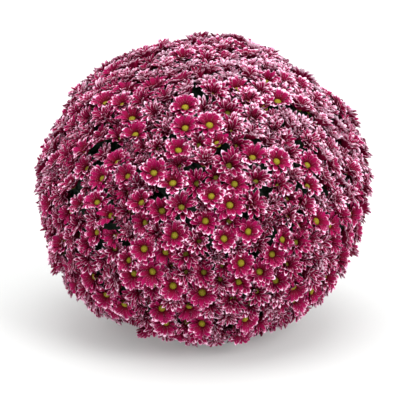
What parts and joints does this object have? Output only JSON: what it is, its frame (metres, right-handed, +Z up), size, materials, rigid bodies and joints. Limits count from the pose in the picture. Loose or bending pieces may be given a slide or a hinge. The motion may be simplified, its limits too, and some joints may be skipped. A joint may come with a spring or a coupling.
{
  "type": "pompon chrysanthemum",
  "caption": "Ball-shaped pompon chrysanthemum cut at its foot: magenta, white-tipped blooms with yellow discs cover a ball of leafy shoots on a branched stem.",
  "frame": {"origin": "middle of the stem's cut face, on the surface that the plant rests on, under the middle of the ball", "axes": "+Z up along the stem; the side that the picture shows faces -Y, with +X to its right"},
  "size_m": [0.4487, 0.4455, 0.3937],
  "materials": {
    "petals": "soft matte petals, magenta with white tips and pale backs",
    "discs": "matte yellow-green flower discs",
    "leaves": "soft matte dark green",
    "stem": "matte woody green-brown bark"
  },
  "bodies": {
    "root": {"bloom_spray_00": "petals", "bloom_spray_01": "petals", "bloom_spray_02": "petals", "bloom_spray_03": "petals", "bloom_spray_04": "petals", "bloom_spray_05": "petals", "bloom_spray_06": "petals", "bloom_spray_07": "petals", "bloom_spray_08": "petals", "bloom_spray_09": "petals", "bloom_spray_10": "petals", "bloom_spray_11": "petals", "bloom_spray_12": "petals", "bloom_spray_13": "petals", "bloom_spray_14": "petals", "bloom_spray_15": "petals", "bloom_spray_16": "petals", "bloom_spray_17": "petals", "bloom_spray_18": "petals", "bloom_spray_19": "petals", "leafy_shoot_00": "leaves", "leafy_shoot_01": "leaves", "leafy_shoot_02": "leaves", "leafy_shoot_03": "leaves", "leafy_shoot_04": "leaves", "leafy_shoot_05": "leaves", "leafy_shoot_06": "leaves", "leafy_shoot_07": "leaves", "leafy_shoot_08": "leaves", "leafy_shoot_09": "leaves", "leafy_shoot_10": "leaves", "leafy_shoot_11": "leaves", "leafy_shoot_12": "leaves", "leafy_shoot_13": "leaves", "leafy_shoot_14": "leaves", "leafy_shoot_15": "leaves", "leafy_shoot_16": "leaves", "leafy_shoot_17": "leaves", "leafy_shoot_18": "leaves", "leafy_shoot_19": "leaves", "stem": "stem"}
  },
  "joints": []
}
